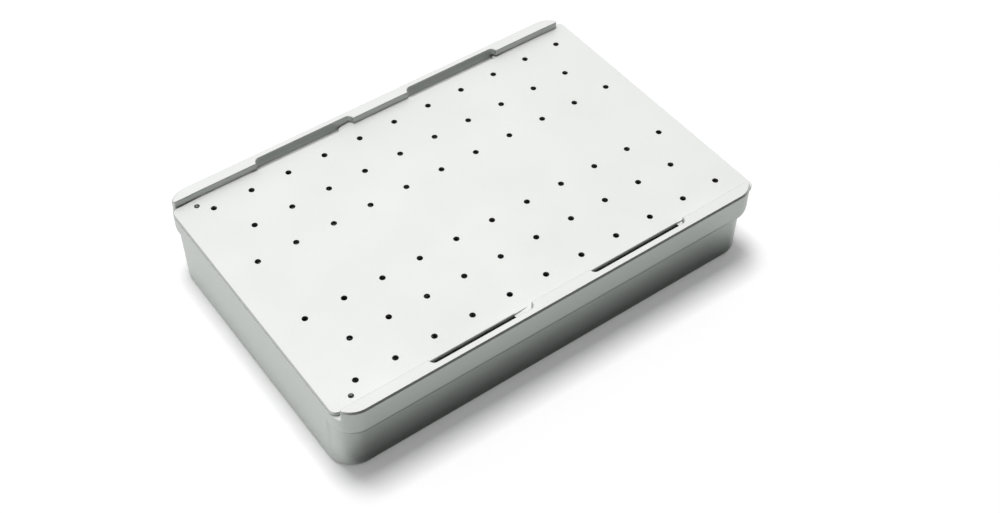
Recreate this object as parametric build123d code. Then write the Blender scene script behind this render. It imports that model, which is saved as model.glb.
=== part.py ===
from build123d import *
import math
import os

# A sterilization case in millimetres. +X runs along the length towards the end where the lid
# slides out, and +Z points up. All places are measured from the middle of the tub's underside,
# and the finished pieces move back by half the lid's overhang to centre the whole case.

# Overall size of the tub and the shape of its outside
case_length = 172.0
case_width = 117.6
case_height = 32.4
corner_radius = 9.0
lower_corner_radius = 9.3
rail_overhang = 2.8
rail_chamfer = 0.6
rail_face_height = 9.3
rail_underside_radius = 4.0
base_edge_radius = 1.6

# Walls of the milled tub
side_wall = 2.1
end_wall = 2.5
floor_thickness = 2.5
inner_corner_radius = 7.0

# The channel that the lid runs in
lid_drop = 2.7
lid_thickness = 1.5
lid_float = 0.1
lip_width = 5.0
lip_clearance = 0.2
groove_depth = 2.3
left_tip_setback = 1.9
right_tip_setback = 2.3
tip_corner_radius = 1.0
groove_end_setback = 6.0

# Notches in the two lips, where the lid's tabs lift out
notch_starts = (-51.0, 13.65)
notch_length = 40.5
notch_corner_radius = 2.0

# The sliding lid: a plate with three tabs on each side, the last ones running to the right end.
# It lies a little to the back in the play that its tabs have in the grooves.
lid_offset_y = 0.3
lid_overhang = 0.75
lid_left_inset = 0.25
lid_left_radius = 2.6
lid_right_radius = 2.5
lid_side_clearance = 0.55
tab_clearance = 0.5
tab_end_clearance = 0.3
tab_lead_radius = 2.0
tab_root_radius = 2.0
tab_ramp_length = 5.8
tab_ramp_drop = 0.75
first_tab_end = -54.15
middle_tab_start = -16.7
middle_tab_end = 13.7
last_tab_start = 52.9
lid_edge_break = 0.2

# Vent holes in the lid: rows from front to back, the fourth row is left out
vent_diameter = 2.2
vent_row_counts = (11, 10, 11, 0, 11, 10, 11)
vent_margin_left = 13.1
vent_margin_right = 8.9
vent_margin_side = 13.1

# Spring plungers that hold the lid shut, one in each left corner of the tub
detent_inset = 8.75
detent_side_inset = 8.8
detent_hole_diameter = 2.0
detent_ball_diameter = 3.0
detent_ball_gap = 0.05
plunger_diameter = 5.0
plunger_length = 9.0
plunger_floor = 1.0
plunger_rim = 0.2
plunger_rim_diameter = 2.66
ball_clearance = 0.05
thread_clearance = 0.03
spring_wire = 0.4
spring_diameter = 2.6
spring_turns = 5.0
spring_end_gap = 0.05
post_length = 10.5
post_width = 9.5
post_corner_radius = 3.0
post_drop = 0.1

# Vent slots in the floor of the tub
floor_slot_length = 22.0
floor_slot_width = 4.0
floor_slot_columns = 4
floor_slot_rows = 3
floor_slot_pitch_x = 34.0
floor_slot_pitch_y = 28.0

# The instrument tray and what carries it
tray_thickness = 1.5
tray_gap = 4.5
tray_corner_radius = 5.0
tray_height = 14.0
tray_notch_clearance = 1.5
standoff_diameter = 7.0
standoff_inset_x = 22.0
standoff_inset_y = 10.0
tray_vent_diameter = 3.5
tray_vent_pitch = 9.0
tray_vent_columns = 9
tray_vent_rows = 5
screw_diameter = 3.0
screw_clearance = 0.1
screw_head_diameter = 5.6
screw_head_height = 1.8
screw_length = 5.0
screw_socket = 2.0
screw_socket_depth = 1.1
washer_diameter = 7.0
washer_thickness = 0.5
countersink_diameter = 6.0

# Silicone grommets that hold the shanks of small instruments
grommet_columns = 7
grommet_pitch = 18.0
grommet_row_small_y = 36.0
grommet_row_large_y = 14.0
small_grommet_bore = 2.4
small_grommet_neck = 5.0
small_grommet_flange = 8.0
large_grommet_bore = 3.6
large_grommet_neck = 7.0
large_grommet_flange = 11.0
grommet_flange_thickness = 1.2
grommet_clearance = 0.05

# Silicone combs that hold long handles
comb_offset_x = 46.0
comb_center_y = -25.0
comb_thickness = 6.0
comb_length = 40.0
comb_height = 9.0
comb_slots = 3
comb_slot_pitch = 13.0
comb_slot_width = 7.0
comb_slot_depth = 6.0
comb_top_radius = 2.5
comb_peg_diameter = 4.0
comb_peg_spread = 26.0
comb_peg_clearance = 0.05

# Heights and half widths that follow from the sizes above
rail_top = case_height
lid_top = rail_top - lid_drop
lid_bottom = lid_top - lid_thickness
ledge_top = lid_bottom - lid_float
lip_bottom = lid_top + lip_clearance
half_length = case_length / 2
half_width = case_width / 2
channel_half = half_width - lip_width
groove_half = channel_half + groove_depth
lower_half = half_width - rail_overhang
left_tip_x = -half_length + left_tip_setback
right_tip_x = half_length - right_tip_setback
groove_end_x = -half_length + groove_end_setback
cavity_half_length = half_length - end_wall
cavity_half_width = lower_half - side_wall
rail_block_bottom = rail_top - rail_face_height - rail_underside_radius
post_top = ledge_top - post_drop
tray_top = tray_height + tray_thickness
above = rail_top + 10.0
plate_half = channel_half - lid_side_clearance
tab_half = groove_half - tab_clearance
vent_pitch_x = (case_length - vent_margin_left - vent_margin_right) / (max(vent_row_counts) - 1)
vent_pitch_y = (case_width - 2 * vent_margin_side) / (len(vent_row_counts) - 1)


def slab(x0, x1, y0, y1, z0, z1):
    """A box between two corners."""
    center = ((x0 + x1) / 2, (y0 + y1) / 2, (z0 + z1) / 2)
    return Pos(*center) * Box(x1 - x0, y1 - y0, z1 - z0)


def rounded_block(length, width, radius, z0, z1):
    """A block with upright rounded corners, centred on the Z axis."""
    return Pos(0, 0, z0) * extrude(RectangleRounded(length, width, radius), z1 - z0)


def rod(x, y, z0, z1, diameter):
    """An upright cylinder."""
    return Pos(x, y, (z0 + z1) / 2) * Cylinder(diameter / 2, z1 - z0)


def detent_places():
    """The two plunger axes, front then back."""
    x = -half_length + detent_inset
    y = half_width - detent_side_inset
    return {"front": (x, lid_offset_y - y), "back": (x, lid_offset_y + y)}


def standoff_places():
    """The four standoff axes by corner."""
    x = cavity_half_length - standoff_inset_x
    y = cavity_half_width - standoff_inset_y
    return {
        "front_left": (-x, -y),
        "front_right": (x, -y),
        "back_left": (-x, y),
        "back_right": (x, y),
    }


def comb_places():
    """The two combs, left then right."""
    return {"left": -comb_offset_x, "right": comb_offset_x}


def comb_peg_places(x):
    """The two pegs under one comb."""
    return [(x, comb_center_y + side * comb_peg_spread / 2) for side in (-1, 1)]


def grommet_places(y):
    """A row of grommets along the length of the tray."""
    first = -(grommet_columns - 1) / 2 * grommet_pitch
    return [(first + column * grommet_pitch, y) for column in range(grommet_columns)]


def upright_edges_at(solid, x, y):
    """The upright edges of a solid that stand at x, on both sides at y."""
    found = []
    for edge in solid.edges().filter_by(Axis.Z):
        middle = edge.center()
        if abs(middle.X - x) < 0.01 and abs(abs(middle.Y) - y) < 0.01:
            found.append(edge)
    return found


def make_case_body():
    """The tub: lower walls, two undercut rails with notched lips, plunger posts and a vented floor."""
    lower = rounded_block(case_length, 2 * lower_half, lower_corner_radius, 0, ledge_top)
    lower = fillet(lower.edges().group_by(Axis.Z)[0], base_edge_radius)
    rails = rounded_block(case_length, case_width, corner_radius, rail_block_bottom, rail_top)
    rails = fillet(rails.edges().group_by(Axis.Z)[0], rail_underside_radius)
    rails = chamfer(rails.edges().group_by(Axis.Z)[-1], rail_chamfer)
    body = lower + rails

    far_x = case_length
    far_y = case_width
    body -= slab(-far_x, far_x, -channel_half, channel_half, ledge_top, above)
    body -= slab(-far_x, left_tip_x, -far_y, far_y, ledge_top, above)
    body -= slab(right_tip_x, far_x, -far_y, far_y, ledge_top, above)
    body = fillet(upright_edges_at(body, left_tip_x, channel_half), tip_corner_radius)
    body = fillet(upright_edges_at(body, right_tip_x, channel_half), tip_corner_radius)
    body -= slab(groove_end_x, far_x, -groove_half, groove_half, ledge_top, lip_bottom)
    for start in notch_starts:
        middle = start + notch_length / 2
        notch = Pos(middle, 0, ledge_top) * extrude(
            RectangleRounded(notch_length, 2 * groove_half, notch_corner_radius),
            above - ledge_top,
        )
        body -= notch

    cavity = rounded_block(
        2 * cavity_half_length,
        2 * cavity_half_width,
        inner_corner_radius,
        floor_thickness,
        above,
    )
    for name, (x, y) in detent_places().items():
        side = math.copysign(1, y)
        inner_y = side * (cavity_half_width - post_width)
        outer_y = side * far_y
        post = slab(
            -far_x,
            -cavity_half_length + post_length,
            min(inner_y, outer_y),
            max(inner_y, outer_y),
            0,
            post_top,
        )
        inner_edge = post.edges().filter_by(Axis.Z).sort_by(Axis.X)[-2:]
        inner_edge = inner_edge.sort_by_distance((0, 0, 0))[0]
        cavity -= fillet(inner_edge, post_corner_radius)
    body -= cavity

    hole_diameter = plunger_diameter + 2 * thread_clearance
    for x, y in detent_places().values():
        body -= rod(x, y, post_top - plunger_length, above, hole_diameter)
    for x, y in standoff_places().values():
        body -= rod(x, y, -1, floor_thickness + 1, screw_diameter + 2 * screw_clearance)
        body -= countersink(x, y)
    slot = SlotOverall(floor_slot_length, floor_slot_width)
    for place in GridLocations(
        floor_slot_pitch_x, floor_slot_pitch_y, floor_slot_columns, floor_slot_rows
    ):
        body -= Pos(0, 0, -1) * (place * extrude(slot, floor_thickness + 2))
    return body


def countersink(x, y):
    """The 90 degree cone that a flat screw head sits in, cut from below the floor."""
    hole = screw_diameter + 2 * screw_clearance
    depth = (countersink_diameter - hole) / 2
    cone = Cone(countersink_diameter / 2, hole / 2, depth)
    return Pos(x, y, depth / 2) * cone


def strip(x0, x1, half):
    """A flat rectangle from x0 to x1, centred across the case."""
    return Pos((x0 + x1) / 2, 0) * Rectangle(x1 - x0, 2 * half)


def tab_spans():
    """The start and end of each pair of tabs; the last pair ends with the lid."""
    return (
        (groove_end_x + tab_end_clearance, first_tab_end),
        (middle_tab_start, middle_tab_end),
        (last_tab_start, half_length + lid_overhang),
    )


def lid_outline():
    """The lid's outline: a straight plate and the tabs that run under the lips."""
    left = -half_length + lid_left_inset
    outline = strip(left, last_tab_start + tab_root_radius, plate_half)
    outline = fillet(outline.vertices().group_by(Axis.X)[0], lid_left_radius)
    for x0, x1 in tab_spans():
        tab = strip(x0, x1, tab_half)
        tab = fillet(tab.vertices().group_by(Axis.X)[0], tab_lead_radius)
        if x1 > half_length:
            tab = fillet(tab.vertices().group_by(Axis.X)[-1], lid_right_radius)
        outline += tab
        if x1 < half_length:
            roots = [
                corner
                for corner in outline.vertices()
                if abs(corner.X - x1) < 0.01 and abs(abs(corner.Y) - plate_half) < 0.01
            ]
            outline = fillet(roots, tab_root_radius)
    return outline


def tab_ramp(x0, side):
    """The wedge that is cut from the top of a tab's left end, so that it slips under the lip."""
    low = lid_top - tab_ramp_drop
    profile_points = (
        (x0 - 1, low),
        (x0, low),
        (x0 + tab_ramp_length, lid_top),
        (x0 + tab_ramp_length, lid_top + 1),
        (x0 - 1, lid_top + 1),
    )
    profile = make_face(Plane.XZ * Polyline(*profile_points, close=True))
    width = tab_half - plate_half + 1
    wedge = Pos(0, plate_half + width, 0) * extrude(profile, width)
    return wedge if side > 0 else mirror(wedge, Plane.XZ)


def lid_vents():
    """The centres of the lid's vent holes; the shorter rows stand half a pitch in."""
    places = []
    for row, count in enumerate(vent_row_counts):
        y = (row - (len(vent_row_counts) - 1) / 2) * vent_pitch_y
        indent = (max(vent_row_counts) - count) / 2 * vent_pitch_x
        for column in range(count):
            x = -half_length + vent_margin_left + indent + column * vent_pitch_x
            places.append((x, y + lid_offset_y))
    return places


def make_sliding_lid():
    """The vented lid plate with ramped tabs and a small break on its upper edge."""
    plate = Pos(0, lid_offset_y, lid_bottom) * extrude(lid_outline(), lid_thickness)
    plate = chamfer(plate.edges().group_by(Axis.Z)[-1], lid_edge_break)
    for x0, x1 in tab_spans():
        for side in (-1, 1):
            plate -= Pos(0, lid_offset_y, 0) * tab_ramp(x0, side)
    holes = [Pos(x, y) * Circle(vent_diameter / 2) for x, y in lid_vents()]
    holes += [Pos(x, y) * Circle(detent_hole_diameter / 2) for x, y in detent_places().values()]
    for hole in holes:
        plate -= Pos(0, 0, lid_bottom - 1) * extrude(hole, lid_thickness + 2)
    return plate


def make_detent_sleeve(x, y):
    """A threaded plunger sleeve, closed below, with a rim that keeps the ball in."""
    bottom = post_top - plunger_length
    sleeve = rod(x, y, bottom, post_top, plunger_diameter)
    bore = detent_ball_diameter + 2 * ball_clearance
    sleeve -= rod(x, y, bottom + plunger_floor, post_top - plunger_rim, bore)
    sleeve -= rod(x, y, bottom + plunger_floor, post_top + 1, plunger_rim_diameter)
    return sleeve


def ball_center_z():
    """The height of a detent ball that just clears the lid's underside."""
    return lid_bottom - detent_ball_gap - detent_ball_diameter / 2


def make_detent_ball(x, y):
    """The steel ball that clicks into the lid's corner hole."""
    return Pos(x, y, ball_center_z()) * Sphere(detent_ball_diameter / 2)


def make_detent_spring(x, y):
    """The coil spring that pushes the ball up."""
    coil_radius = (spring_diameter - spring_wire) / 2
    ball_radius = detent_ball_diameter / 2
    contact = ball_center_z() - math.sqrt(ball_radius ** 2 - (coil_radius - spring_wire / 2) ** 2)
    start = post_top - plunger_length + plunger_floor + spring_end_gap + spring_wire / 2
    end = contact - spring_end_gap - spring_wire / 2
    path = Helix((end - start) / spring_turns, end - start, coil_radius)
    wire = Plane(origin=path @ 0, z_dir=path % 0) * Circle(spring_wire / 2)
    return Pos(x, y, start) * sweep(wire, path)


def make_tray_plate():
    """The flat instrument tray, with holes for grommets, combs and screws and vents between them."""
    length = 2 * (cavity_half_length - tray_gap)
    width = 2 * (cavity_half_width - tray_gap)
    plate = rounded_block(length, width, tray_corner_radius, tray_height, tray_top)
    low = tray_height - 1
    high = tray_top + 1
    post_end = -cavity_half_length + post_length + tray_notch_clearance
    post_side = cavity_half_width - post_width - tray_notch_clearance
    for y0, y1 in ((-case_width, -post_side), (post_side, case_width)):
        plate -= slab(-case_length, post_end, y0, y1, low, high)
    for x, y in standoff_places().values():
        plate -= rod(x, y, low, high, screw_diameter + 2 * screw_clearance)
    rows = ((grommet_row_small_y, small_grommet_neck), (grommet_row_large_y, large_grommet_neck))
    for row_y, neck in rows:
        for x, y in grommet_places(row_y):
            plate -= rod(x, y, low, high, neck + 2 * grommet_clearance)
    for comb_x in comb_places().values():
        for x, y in comb_peg_places(comb_x):
            plate -= rod(x, y, low, high, comb_peg_diameter + 2 * comb_peg_clearance)
    vents = GridLocations(tray_vent_pitch, tray_vent_pitch, tray_vent_columns, tray_vent_rows)
    for place in vents:
        x = place.position.X
        y = comb_center_y + place.position.Y
        plate -= rod(x, y, low, high, tray_vent_diameter)
    return plate


def make_standoff(x, y):
    """A round standoff between floor and tray, tapped from both ends."""
    post = rod(x, y, floor_thickness, tray_height, standoff_diameter)
    tapped = screw_diameter + 2 * thread_clearance
    return post - rod(x, y, floor_thickness - 1, tray_height + 1, tapped)


def make_tray_screws():
    """Four socket screws that hold the tray down, as one group."""
    screws = []
    for x, y in standoff_places().values():
        seat = tray_top + washer_thickness
        shank = rod(x, y, seat - screw_length, seat, screw_diameter)
        head = rod(x, y, seat, seat + screw_head_height, screw_head_diameter)
        socket = Pos(x, y, seat + screw_head_height - screw_socket_depth) * extrude(
            RegularPolygon(screw_socket / 2, 6, major_radius=False), screw_socket_depth
        )
        screws.append(shank + head - socket)
    return screws


def make_tray_washers():
    """Four plain washers under the tray screws, as one group."""
    washers = []
    for x, y in standoff_places().values():
        disc = rod(x, y, tray_top, tray_top + washer_thickness, washer_diameter)
        hole = screw_diameter + 2 * screw_clearance
        washers.append(disc - rod(x, y, tray_top - 1, tray_top + washer_thickness + 1, hole))
    return washers


def make_base_screws():
    """Four flat head screws from below that hold the standoffs to the floor, as one group."""
    screws = []
    hole = screw_diameter + 2 * screw_clearance
    depth = (countersink_diameter - hole) / 2
    seat_gap = screw_clearance / 2
    for x, y in standoff_places().values():
        head = Pos(x, y, depth / 2) * Cone(
            countersink_diameter / 2 - seat_gap, screw_diameter / 2 - seat_gap, depth
        )
        shank = rod(x, y, 0, floor_thickness + screw_length, screw_diameter)
        socket = Pos(x, y, 0) * extrude(
            RegularPolygon(screw_socket / 2, 6, major_radius=False), screw_socket_depth
        )
        screws.append(head + shank - socket)
    return screws


def make_grommets(y, bore, neck, flange):
    """One row of flanged silicone grommets in the tray, as one group."""
    profile_points = (
        (bore / 2, -grommet_flange_thickness),
        (neck / 2 + grommet_flange_thickness / 2, -grommet_flange_thickness),
        (neck / 2, 0),
        (neck / 2, tray_thickness),
        (flange / 2, tray_thickness),
        (flange / 2 - grommet_flange_thickness / 2, tray_thickness + grommet_flange_thickness),
        (bore / 2, tray_thickness + grommet_flange_thickness),
    )
    profile = make_face(Plane.XZ * Polyline(*profile_points, close=True))
    grommet = revolve(profile, Axis.Z)
    return [Pos(x, row_y, tray_height) * grommet for x, row_y in grommet_places(y)]


def make_comb(x):
    """A silicone comb that stands on the tray and holds long handles in its slots."""
    outline = Pos(comb_center_y, comb_height / 2) * Rectangle(comb_length, comb_height)
    outline = fillet(outline.vertices().group_by(Axis.Y)[-1], comb_top_radius)
    for index in range(comb_slots):
        y = comb_center_y + (index - (comb_slots - 1) / 2) * comb_slot_pitch
        bottom = comb_height - comb_slot_depth + comb_slot_width / 2
        outline -= Pos(y, bottom) * Circle(comb_slot_width / 2)
        outline -= Pos(y, bottom + comb_height / 2) * Rectangle(comb_slot_width, comb_height)
    comb = extrude(Plane.YZ * outline, comb_thickness / 2, both=True)
    comb = Pos(x, 0, tray_top) * comb
    for peg_x, peg_y in comb_peg_places(x):
        comb += rod(peg_x, peg_y, tray_height, tray_top, comb_peg_diameter)
    return comb


def all_nodes():
    """Every node of the case by name."""
    nodes = {"case_body": make_case_body(), "sliding_lid": make_sliding_lid()}
    for side, (x, y) in detent_places().items():
        nodes["detent_sleeve_" + side] = make_detent_sleeve(x, y)
        nodes["detent_spring_" + side] = make_detent_spring(x, y)
        nodes["detent_ball_" + side] = make_detent_ball(x, y)
    nodes["tray_plate"] = make_tray_plate()
    for corner, (x, y) in standoff_places().items():
        nodes["standoff_" + corner] = make_standoff(x, y)
    nodes["tray_screws"] = make_tray_screws()
    nodes["tray_washers"] = make_tray_washers()
    nodes["base_screws"] = make_base_screws()
    nodes["grommets_small"] = make_grommets(
        grommet_row_small_y, small_grommet_bore, small_grommet_neck, small_grommet_flange
    )
    nodes["grommets_large"] = make_grommets(
        grommet_row_large_y, large_grommet_bore, large_grommet_neck, large_grommet_flange
    )
    for side, x in comb_places().items():
        nodes["instrument_comb_" + side] = make_comb(x)
    return nodes


def main():
    """Writes one STEP file for each node, moved so that the whole case is centred."""
    os.makedirs("parts", exist_ok=True)
    centring = Pos(-lid_overhang / 2, 0, 0)
    for name, shape in all_nodes().items():
        pieces = shape if isinstance(shape, list) else [shape]
        solids = [centring * solid for piece in pieces for solid in piece.solids()]
        whole = solids[0] if len(solids) == 1 else Compound(children=solids)
        whole.label = name
        export_step(whole, os.path.join("parts", name + ".step"))
        print(name, len(solids))


main()
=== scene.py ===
"""The looks of a sterilization case: finishes, edge work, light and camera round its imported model."""

import math

import bmesh
import bpy
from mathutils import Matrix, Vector


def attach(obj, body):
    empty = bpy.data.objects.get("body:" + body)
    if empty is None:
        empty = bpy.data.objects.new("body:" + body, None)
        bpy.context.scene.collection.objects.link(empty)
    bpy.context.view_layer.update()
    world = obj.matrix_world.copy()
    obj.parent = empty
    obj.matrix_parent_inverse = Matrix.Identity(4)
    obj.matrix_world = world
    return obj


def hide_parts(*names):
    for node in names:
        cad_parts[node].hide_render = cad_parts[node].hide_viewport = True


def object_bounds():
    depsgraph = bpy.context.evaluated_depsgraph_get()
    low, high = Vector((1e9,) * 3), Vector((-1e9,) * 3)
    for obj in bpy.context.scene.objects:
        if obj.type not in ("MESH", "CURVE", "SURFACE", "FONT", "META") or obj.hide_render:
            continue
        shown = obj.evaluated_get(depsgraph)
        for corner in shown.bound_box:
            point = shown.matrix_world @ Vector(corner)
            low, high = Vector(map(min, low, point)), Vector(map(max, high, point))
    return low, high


MM = 0.001

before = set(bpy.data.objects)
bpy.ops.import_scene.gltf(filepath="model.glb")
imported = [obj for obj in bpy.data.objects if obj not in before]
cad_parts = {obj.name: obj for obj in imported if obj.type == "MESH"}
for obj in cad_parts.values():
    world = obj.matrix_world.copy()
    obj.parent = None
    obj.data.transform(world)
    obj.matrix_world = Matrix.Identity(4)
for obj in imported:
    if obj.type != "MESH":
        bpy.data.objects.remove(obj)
cad_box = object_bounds()

# Camera, worked out from the grid of vent holes as the photograph shows it
camera_place_mm = (-199.6, -286.9, 389.8)
camera_turn_deg = (41.763, 0.403, -35.367)
camera_lens_mm = 51.72
camera_sensor_mm = 36.0
camera_shift_x = 0.035
camera_nearest_mm = 10.0

# Light: a soft box high up and a little behind, which keeps the case's shadow short and in front,
# and a white room round it. The table adds a little light of its own to what is seen of it, and
# more further out, where the soft box falls off.
softbox_place_mm = (0.0, 330.0, 1900.0)
softbox_mm = (600.0, 660.0)
softbox_power_w = 24.5
room_glow = 0.34
table_lift = 0.08
table_lift_far = 0.66
table_lift_near_mm = 350.0
table_lift_far_mm = 2600.0
floor_size_mm = 9000.0

# Cards that show in reflections alone and paint light and shade there: a glowing one hangs where
# the lid mirrors it and paints a highlight into the lid, a dark one stands in front and paints shade
# into the case's front, and a graduated one lies on the table along the foot of the case's front
# wall and paints the case's shadow into that wall's reflection
# The glowing card is a painted highlight, which only the lid's reflection shows
painted_highlight_card_place_mm = (1580.0, 1300.0, 1750.0)
painted_highlight_card_mm = (1700.0, 1500.0)
painted_highlight_strength = 1.75
# The dark card is painted shade, which only the reflections in the case's front show
front_card_mm = (2400.0, 1100.0)
front_card_distance_mm = 620.0
front_card_painted_shade_colour = "#232524"
table_card_mm = (420.0, 180.0)
painted_shadow_dark_half_mm = 69.0
table_card_gap_mm = 0.2
rail_overhang_mm = 2.8

# The tones of the graduated card's painted shadow, each with its distance in mm from the dark
# stretch at the wall's foot
painted_shadow_tones = (
    (0.0, "#909291"),
    (6.0, "#909291"),
    (12.0, "#B6B8B7"),
    (18.0, "#DFE1E0"),
    (30.0, "#EDEFEE"),
)

# Work on the copies of the CAD's pieces: their loose facets are joined, and flat ones made one
merge_distance_mm = 0.001
flat_joint_deg = 0.5

# The rails' square top edges are broken with a small flat, and an edge that turns more than
# sharp_angle_deg is shaded sharp
lip_break_mm = 0.2
lip_top_tolerance_mm = 0.01
square_edge_deg = 80.0
sharp_angle_deg = 28.0

# Faces that lie level and look upwards carry this mark, which the case's finish reads to make
# them rougher and to paint light on them with a lighter tint
level_mark = "level"
level_normal_z = 0.95

# Places of a Mix node's colour sockets, which share their names with those for other values
mix_colour_a = 6
mix_colour_b = 7
mix_colour_result = 2


def linear(hex_colour):
    """An sRGB hex colour as linear red, green, blue and an alpha of 1."""
    parts = [int(hex_colour[start : start + 2], 16) / 255 for start in (1, 3, 5)]
    light = [p / 12.92 if p <= 0.04045 else ((p + 0.055) / 1.055) ** 2.4 for p in parts]
    return (*light, 1.0)


def add_node(tree, kind, settings=None, inputs=None, stops=()):
    """Adds a node with its settings. An input is given a value, or linked to another node's output.
    The stops of a colour ramp are pairs of a position and a hex colour."""
    node = tree.nodes.new(kind)
    for name, value in (settings or {}).items():
        setattr(node, name, value)
    for name, value in (inputs or {}).items():
        if isinstance(value, bpy.types.NodeSocket):
            tree.links.new(value, node.inputs[name])
        else:
            node.inputs[name].default_value = value
    if stops:
        marks = node.color_ramp.elements
        while len(marks) < len(stops):
            marks.new(1.0)
        for mark, (position, hex_colour) in zip(marks, stops):
            mark.position = position
            mark.color = linear(hex_colour)
    return node


def new_material(name):
    """An empty node material and its tree."""
    material = bpy.data.materials.new(name)
    material.use_nodes = True
    material.node_tree.nodes.clear()
    return material, material.node_tree


def bead_blasted_anodised_aluminium():
    """Aluminium, bead blasted and clear anodised. The fine pits give an even satin sheen with soft
    reflections, and there are slow changes where hands have polished it. The faces that lie level
    are more matt, as if the blast had met them head on, and carry a lighter, more neutral tint than
    the sides, which is painted light from above; the sides are a faintly green silver."""
    material, tree = new_material("bead_blasted_anodised_aluminium")
    # Real pits are about 0.05 mm across, too fine to show, so they are drawn coarser
    pit_mm = 0.3
    pit_depth_mm = 0.02
    handling_mm = 28.0
    level_extra_roughness = 0.32
    # A noise keeps to the middle of its range, so the ramps change there
    low = 0.3
    high = 0.7
    coords = add_node(tree, "ShaderNodeTexCoord").outputs["Object"]
    level = add_node(tree, "ShaderNodeAttribute", {"attribute_name": level_mark}).outputs["Fac"]
    pits = add_node(
        tree,
        "ShaderNodeTexNoise",
        inputs={"Vector": coords, "Scale": 1 / (pit_mm * MM), "Detail": 2.0, "Roughness": 0.6},
    ).outputs["Fac"]
    handling = add_node(
        tree,
        "ShaderNodeTexNoise",
        inputs={"Vector": coords, "Scale": 1 / (handling_mm * MM), "Detail": 3.0},
    )
    side_roughness = add_node(
        tree,
        "ShaderNodeMapRange",
        inputs={"Value": handling.outputs["Fac"], "To Min": 0.4, "To Max": 0.46},
    )
    roughness = add_node(
        tree,
        "ShaderNodeMath",
        {"operation": "MULTIPLY_ADD"},
        {0: level, 1: level_extra_roughness, 2: side_roughness.outputs["Result"]},
    )
    side_tint = add_node(
        tree,
        "ShaderNodeValToRGB",
        inputs={"Fac": pits},
        stops=((low, "#B6BAB7"), (high, "#BDC1BE")),
    )
    # A lighter tint for the level faces: painted light where the light from above falls on them
    level_tint_with_painted_light = add_node(
        tree,
        "ShaderNodeValToRGB",
        inputs={"Fac": pits},
        stops=((low, "#C9CAC8"), (high, "#D1D2D0")),
    )
    tint = add_node(
        tree,
        "ShaderNodeMix",
        {"data_type": "RGBA"},
        {
            0: level,
            mix_colour_a: side_tint.outputs["Color"],
            mix_colour_b: level_tint_with_painted_light.outputs["Color"],
        },
    )
    bump = add_node(
        tree,
        "ShaderNodeBump",
        inputs={"Height": pits, "Strength": 0.12, "Distance": pit_depth_mm * MM},
    )
    shader = add_node(
        tree,
        "ShaderNodeBsdfPrincipled",
        inputs={
            "Base Color": tint.outputs[mix_colour_result],
            "Metallic": 1.0,
            "Roughness": roughness.outputs[0],
            "Normal": bump.outputs["Normal"],
        },
    )
    add_node(tree, "ShaderNodeOutputMaterial", inputs={"Surface": shader.outputs[0]})
    return material


def brushed_anodised_sheet():
    """Rolled aluminium sheet, brushed along its length and anodised. The brushing draws fine lines
    and stretches the reflections across them."""
    material, tree = new_material("brushed_anodised_sheet")
    # Real brush lines are about 0.1 mm wide, too fine to show, so they are drawn coarser
    line_mm = 0.35
    line_depth_mm = 0.02
    line_squeeze = 0.02
    coords = add_node(tree, "ShaderNodeTexCoord").outputs["Object"]
    stretched = add_node(
        tree,
        "ShaderNodeMapping",
        inputs={"Vector": coords, "Scale": (line_squeeze, 1.0, 1.0)},
    )
    lines = add_node(
        tree,
        "ShaderNodeTexNoise",
        inputs={"Vector": stretched.outputs["Vector"], "Scale": 1 / (line_mm * MM), "Detail": 3.0},
    ).outputs["Fac"]
    tint = add_node(
        tree,
        "ShaderNodeValToRGB",
        inputs={"Fac": lines},
        stops=((0.0, "#C2C6C6"), (1.0, "#D6D9D8")),
    )
    bump = add_node(
        tree,
        "ShaderNodeBump",
        inputs={"Height": lines, "Strength": 0.2, "Distance": line_depth_mm * MM},
    )
    shader = add_node(
        tree,
        "ShaderNodeBsdfPrincipled",
        inputs={
            "Base Color": tint.outputs["Color"],
            "Metallic": 1.0,
            "Roughness": 0.36,
            "Normal": bump.outputs["Normal"],
        },
    )
    add_node(tree, "ShaderNodeOutputMaterial", inputs={"Surface": shader.outputs[0]})
    return material


def turned_stainless_steel():
    """Turned and passivated stainless steel: darker and warmer than the aluminium, with fine tool
    rings round each piece that break up its highlights."""
    material, tree = new_material("turned_stainless_steel")
    # Real tool rings are about 0.1 mm apart, too fine to show, so they are drawn coarser
    ring_mm = 0.25
    ring_depth_mm = 0.02
    ring_squeeze = 0.05
    coords = add_node(tree, "ShaderNodeTexCoord").outputs["Object"]
    flattened = add_node(
        tree,
        "ShaderNodeMapping",
        inputs={"Vector": coords, "Scale": (ring_squeeze, ring_squeeze, 1.0)},
    )
    rings = add_node(
        tree,
        "ShaderNodeTexNoise",
        inputs={"Vector": flattened.outputs["Vector"], "Scale": 1 / (ring_mm * MM), "Detail": 2.0},
    ).outputs["Fac"]
    roughness = add_node(
        tree,
        "ShaderNodeMapRange",
        inputs={"Value": rings, "To Min": 0.22, "To Max": 0.34},
    )
    bump = add_node(
        tree,
        "ShaderNodeBump",
        inputs={"Height": rings, "Strength": 0.25, "Distance": ring_depth_mm * MM},
    )
    shader = add_node(
        tree,
        "ShaderNodeBsdfPrincipled",
        inputs={
            "Base Color": linear("#C4C2BD"),
            "Metallic": 1.0,
            "Roughness": roughness.outputs["Result"],
            "Normal": bump.outputs["Normal"],
        },
    )
    add_node(tree, "ShaderNodeOutputMaterial", inputs={"Surface": shader.outputs[0]})
    return material


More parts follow.
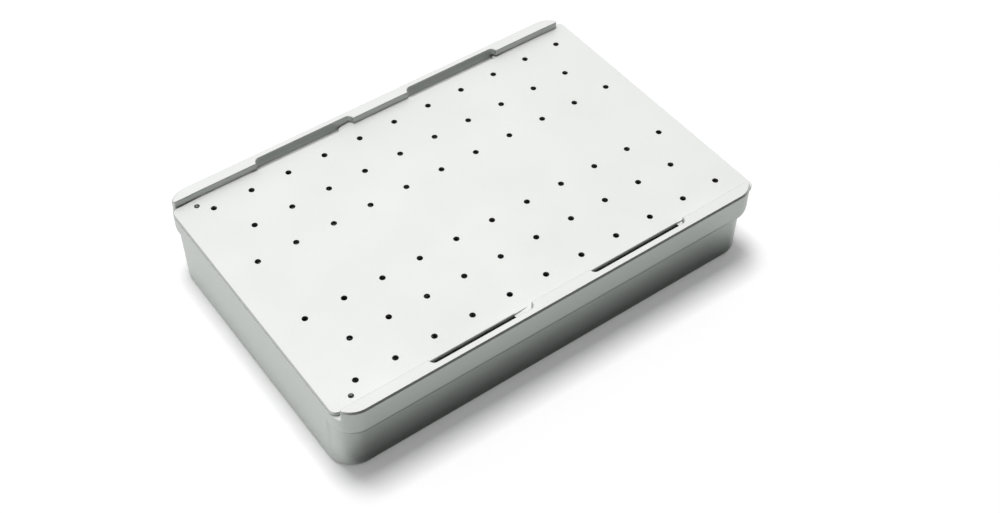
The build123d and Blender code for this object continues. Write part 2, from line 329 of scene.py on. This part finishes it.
def polished_bearing_steel():
    """A bearing ball, dulled to a soft gleam by the lid that rubs over it and by the steam."""
    material, tree = new_material("polished_bearing_steel")
    scuff_mm = 0.5
    coords = add_node(tree, "ShaderNodeTexCoord").outputs["Object"]
    scuffs = add_node(
        tree,
        "ShaderNodeTexNoise",
        inputs={"Vector": coords, "Scale": 1 / (scuff_mm * MM), "Detail": 4.0},
    )
    roughness = add_node(
        tree,
        "ShaderNodeMapRange",
        inputs={"Value": scuffs.outputs["Fac"], "To Min": 0.44, "To Max": 0.54},
    )
    shader = add_node(
        tree,
        "ShaderNodeBsdfPrincipled",
        inputs={
            "Base Color": linear("#BEBEBD"),
            "Metallic": 1.0,
            "Roughness": roughness.outputs["Result"],
        },
    )
    add_node(tree, "ShaderNodeOutputMaterial", inputs={"Surface": shader.outputs[0]})
    return material


def moulded_silicone(name, low_hex, high_hex):
    """Moulded medical silicone: soft satin colour, a fine moulded grain and a little light that
    enters the surface, which keeps its edges from going dark."""
    material, tree = new_material(name)
    # A real moulded grain is about 0.1 mm, too fine to show, so it is drawn coarser
    grain_mm = 0.4
    grain_depth_mm = 0.03
    light_reach_mm = 0.6
    coords = add_node(tree, "ShaderNodeTexCoord").outputs["Object"]
    grain = add_node(
        tree,
        "ShaderNodeTexNoise",
        inputs={"Vector": coords, "Scale": 1 / (grain_mm * MM), "Detail": 3.0},
    ).outputs["Fac"]
    tint = add_node(
        tree,
        "ShaderNodeValToRGB",
        inputs={"Fac": grain},
        stops=((0.0, low_hex), (1.0, high_hex)),
    )
    roughness = add_node(
        tree,
        "ShaderNodeMapRange",
        inputs={"Value": grain, "To Min": 0.48, "To Max": 0.62},
    )
    bump = add_node(
        tree,
        "ShaderNodeBump",
        inputs={"Height": grain, "Strength": 0.2, "Distance": grain_depth_mm * MM},
    )
    shader = add_node(
        tree,
        "ShaderNodeBsdfPrincipled",
        inputs={
            "Base Color": tint.outputs["Color"],
            "Roughness": roughness.outputs["Result"],
            "IOR": 1.41,
            "Subsurface Weight": 0.1,
            "Subsurface Scale": light_reach_mm * MM,
            "Normal": bump.outputs["Normal"],
        },
    )
    add_node(tree, "ShaderNodeOutputMaterial", inputs={"Surface": shader.outputs[0]})
    return material


def break_lip_edges(shape):
    """Breaks the square edges round the top of the rails, and leaves their chamfered outside alone."""
    top = max(vertex.co.z for vertex in shape.verts)
    edges = []
    for edge in shape.edges:
        at_top = all(abs(vertex.co.z - top) < lip_top_tolerance_mm * MM for vertex in edge.verts)
        if at_top and edge.calc_face_angle(0) > math.radians(square_edge_deg):
            edges.append(edge)
    bmesh.ops.bevel(
        shape,
        geom=edges,
        offset=lip_break_mm * MM,
        affect="EDGES",
        segments=1,
        profile=0.5,
        material=-1,
    )


def finished_copy(node, body, material, break_edges=None):
    """A copy of a CAD node with its facets joined, its edges broken where that shows, and the faces
    that lie level marked for its finish."""
    mesh = bpy.data.meshes.new(node + "_finished")
    shape = bmesh.new()
    shape.from_mesh(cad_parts[node].data)
    bmesh.ops.remove_doubles(shape, verts=shape.verts, dist=merge_distance_mm * MM)
    bmesh.ops.dissolve_limit(
        shape,
        angle_limit=math.radians(flat_joint_deg),
        verts=shape.verts,
        edges=shape.edges,
    )
    if break_edges:
        break_edges(shape)
    level = shape.faces.layers.float.new(level_mark)
    for face in shape.faces:
        face.smooth = True
        face[level] = float(face.normal.z > level_normal_z)
    for edge in shape.edges:
        edge.smooth = edge.calc_face_angle(math.pi) < math.radians(sharp_angle_deg)
    shape.to_mesh(mesh)
    shape.free()
    # The CAD's stored normals are those of its loose facets, and don't suit the joined ones
    if "custom_normal" in mesh.attributes:
        mesh.attributes.remove(mesh.attributes["custom_normal"])
    mesh.materials.append(material)
    piece = bpy.data.objects.new(node + "_finished", mesh)
    bpy.context.scene.collection.objects.link(piece)
    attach(piece, body)
    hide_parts(node)


def dress_the_case():
    """Gives every piece its finish."""
    case_metal = bead_blasted_anodised_aluminium()
    tray_metal = brushed_anodised_sheet()
    steel = turned_stainless_steel()
    ball_steel = polished_bearing_steel()
    grommet_silicone = moulded_silicone("moulded_silicone_blue", "#2C4E86", "#34589A")
    comb_silicone = moulded_silicone("moulded_silicone_grey", "#8B9293", "#9AA0A1")

    finished_copy("case_body", "tub", case_metal, break_lip_edges)
    finished_copy("sliding_lid", "lid", case_metal)
    finished_copy("tray_plate", "tub", tray_metal)
    steel_nodes = ["tray_screws", "tray_washers", "base_screws"]
    steel_nodes += ["standoff_" + end for end in ("front_left", "front_right", "back_left", "back_right")]
    for side in ("front", "back"):
        steel_nodes += ["detent_sleeve_" + side, "detent_spring_" + side]
        finished_copy("detent_ball_" + side, "ball_" + side, ball_steel)
    for node in steel_nodes:
        finished_copy(node, "tub", steel)
    for node in ("grommets_small", "grommets_large"):
        finished_copy(node, "tub", grommet_silicone)
    for side in ("left", "right"):
        finished_copy("instrument_comb_" + side, "tub", comb_silicone)


def set_camera():
    """The photograph's camera."""
    data = bpy.data.cameras.new("camera")
    data.sensor_width = camera_sensor_mm
    data.lens = camera_lens_mm
    data.shift_x = camera_shift_x
    data.clip_start = camera_nearest_mm * MM
    camera = bpy.data.objects.new("camera", data)
    camera.location = Vector(camera_place_mm) * MM
    camera.rotation_euler = [math.radians(turn) for turn in camera_turn_deg]
    bpy.context.scene.collection.objects.link(camera)
    bpy.context.scene.camera = camera


def rays_that_see_the_set(tree):
    """1 for camera, mirror and see-through rays, and 0 for the rays that light a surface."""
    rays = add_node(tree, "ShaderNodeLightPath")
    seen = rays.outputs["Is Camera Ray"]
    for name in ("Is Glossy Ray", "Is Transmission Ray"):
        seen = add_node(
            tree,
            "ShaderNodeMath",
            {"operation": "MAXIMUM"},
            {0: seen, 1: rays.outputs[name]},
        ).outputs[0]
    return seen


def set_world():
    """A white room that lights the case gently."""
    world = bpy.data.worlds.new("white_room")
    world.use_nodes = True
    tree = world.node_tree
    tree.nodes.clear()
    strength = add_node(
        tree,
        "ShaderNodeMapRange",
        inputs={"Value": rays_that_see_the_set(tree), "To Min": room_glow, "To Max": 1.0},
    )
    glow = add_node(
        tree,
        "ShaderNodeBackground",
        inputs={"Color": linear("#FFFFFF"), "Strength": strength.outputs["Result"]},
    )
    add_node(tree, "ShaderNodeOutputWorld", inputs={"Surface": glow.outputs[0]})
    bpy.context.scene.world = world


def flat_sheet(name, width_mm, height_mm):
    """A flat rectangle of the set, lying at the origin."""
    shape = bmesh.new()
    # A grid's size is half its side, so this one is 1 m square until it is scaled
    bmesh.ops.create_grid(shape, x_segments=1, y_segments=1, size=0.5)
    bmesh.ops.scale(shape, vec=(width_mm * MM, height_mm * MM, 1.0), verts=shape.verts)
    mesh = bpy.data.meshes.new(name)
    shape.to_mesh(mesh)
    shape.free()
    sheet = bpy.data.objects.new(name, mesh)
    bpy.context.scene.collection.objects.link(sheet)
    return sheet


def diffuse_paint(name, hex_colour):
    """A flat matt paint for the set."""
    paint, tree = new_material(name)
    matt = add_node(tree, "ShaderNodeBsdfDiffuse", inputs={"Color": linear(hex_colour)})
    add_node(tree, "ShaderNodeOutputMaterial", inputs={"Surface": matt.outputs[0]})
    return paint


def painted_shadow_paint(depth_mm):
    """Matt paint with the case's painted shadow, which pales with the distance from the foot of the
    case's front wall; the foot is at the card's far edge and reaches painted_shadow_dark_half_mm to
    either side of its middle."""
    paint, tree = new_material("painted_shadow_card")
    wall_foot = Vector((0, depth_mm / 2, 0)) * MM
    wall_half = Vector((painted_shadow_dark_half_mm, 0, 0)) * MM
    beyond = add_node(tree, "ShaderNodeTexCoord").outputs["Object"]
    for operation, other in (
        ("SUBTRACT", {1: wall_foot}),
        ("ABSOLUTE", {}),
        ("SUBTRACT", {1: wall_half}),
        ("MAXIMUM", {1: Vector((0, 0, 0))}),
        ("LENGTH", {}),
    ):
        step = add_node(tree, "ShaderNodeVectorMath", {"operation": operation}, {0: beyond, **other})
        beyond = step.outputs["Value" if operation == "LENGTH" else "Vector"]
    share = add_node(tree, "ShaderNodeMapRange", inputs={"Value": beyond, "From Max": depth_mm * MM})
    tones = add_node(
        tree,
        "ShaderNodeValToRGB",
        inputs={"Fac": share.outputs["Result"]},
        stops=[(distance_mm / depth_mm, hex_colour) for distance_mm, hex_colour in painted_shadow_tones],
    )
    matt = add_node(tree, "ShaderNodeBsdfDiffuse", inputs={"Color": tones.outputs["Color"]})
    add_node(tree, "ShaderNodeOutputMaterial", inputs={"Surface": matt.outputs[0]})
    return paint


def glowing_paint(name, strength):
    """A paint that gives its own even light."""
    paint, tree = new_material(name)
    glow = add_node(tree, "ShaderNodeEmission", inputs={"Strength": strength})
    add_node(tree, "ShaderNodeOutputMaterial", inputs={"Surface": glow.outputs[0]})
    return paint


def table_paint():
    """White matt paint with a little light of its own, for the camera and mirrors alone, which keeps
    it white far out."""
    paint, tree = new_material("white_table")
    matt = add_node(tree, "ShaderNodeBsdfDiffuse", inputs={"Color": linear("#FFFFFF")})
    coords = add_node(tree, "ShaderNodeTexCoord").outputs["Object"]
    distance = add_node(tree, "ShaderNodeVectorMath", {"operation": "LENGTH"}, {0: coords})
    lift = add_node(
        tree,
        "ShaderNodeMapRange",
        inputs={
            "Value": distance.outputs["Value"],
            "From Min": table_lift_near_mm * MM,
            "From Max": table_lift_far_mm * MM,
            "To Min": table_lift,
            "To Max": table_lift_far,
        },
    )
    seen_lift = add_node(
        tree,
        "ShaderNodeMath",
        {"operation": "MULTIPLY"},
        {0: lift.outputs["Result"], 1: rays_that_see_the_set(tree)},
    )
    glow = add_node(tree, "ShaderNodeEmission", inputs={"Strength": seen_lift.outputs[0]})
    both = add_node(tree, "ShaderNodeAddShader", inputs={0: matt.outputs[0], 1: glow.outputs[0]})
    add_node(tree, "ShaderNodeOutputMaterial", inputs={"Surface": both.outputs[0]})
    return paint


def turn_to_the_case(place):
    """The turn that makes a card or a lamp at this place face the origin, where the case stands."""
    return (-place).to_track_quat("-Z", "Y").to_euler()


def set_table():
    """The white table that the case stands on."""
    table = flat_sheet("table", floor_size_mm, floor_size_mm)
    table.data.materials.append(table_paint())


def set_cards():
    """The cards that the lid and the front of the case mirror, which paint a highlight into the lid,
    and shade and a shadow into the case's front.
    """
    # A glowing card that lights nothing and shows only in reflections: a painted highlight on the lid
    bright = flat_sheet("painted_highlight_card", *painted_highlight_card_mm)
    bright.data.materials.append(glowing_paint("painted_highlight_card", painted_highlight_strength))
    bright.location = Vector(painted_highlight_card_place_mm) * MM
    bright.rotation_euler = turn_to_the_case(bright.location)

    # A dark card that shows only in reflections: painted shade in the case's front and its chamfer
    front_width, front_height = front_card_mm
    front = flat_sheet("front_card", front_width, front_height)
    front.data.materials.append(diffuse_paint("painted_shade_card", front_card_painted_shade_colour))
    front.rotation_euler = (math.radians(90), 0, 0)
    front.location = Vector((0, -front_card_distance_mm, front_height / 2)) * MM

    # A card at the foot of the front wall that shows only in reflections: the case's painted shadow
    table_width, table_depth = table_card_mm
    lying = flat_sheet("table_card", table_width, table_depth)
    lying.data.materials.append(painted_shadow_paint(table_depth))
    near_edge_mm = cad_box[0].y / MM + rail_overhang_mm - table_card_gap_mm
    lying.location = Vector((0, near_edge_mm - table_depth / 2, table_card_gap_mm)) * MM
    for card in (bright, front, lying):
        card.visible_camera = False
        card.visible_diffuse = False
        card.visible_shadow = False


def set_softbox():
    """The soft box, a rectangular lamp that faces the case."""
    width, height = softbox_mm
    data = bpy.data.lights.new("softbox", "AREA")
    data.shape = "RECTANGLE"
    data.size = width * MM
    data.size_y = height * MM
    data.energy = softbox_power_w
    lamp = bpy.data.objects.new("softbox", data)
    lamp.location = Vector(softbox_place_mm) * MM
    lamp.rotation_euler = turn_to_the_case(lamp.location)
    bpy.context.scene.collection.objects.link(lamp)


dress_the_case()
set_camera()
set_world()
set_table()
set_cards()
set_softbox()
bpy.context.scene.view_settings.view_transform = "Standard"
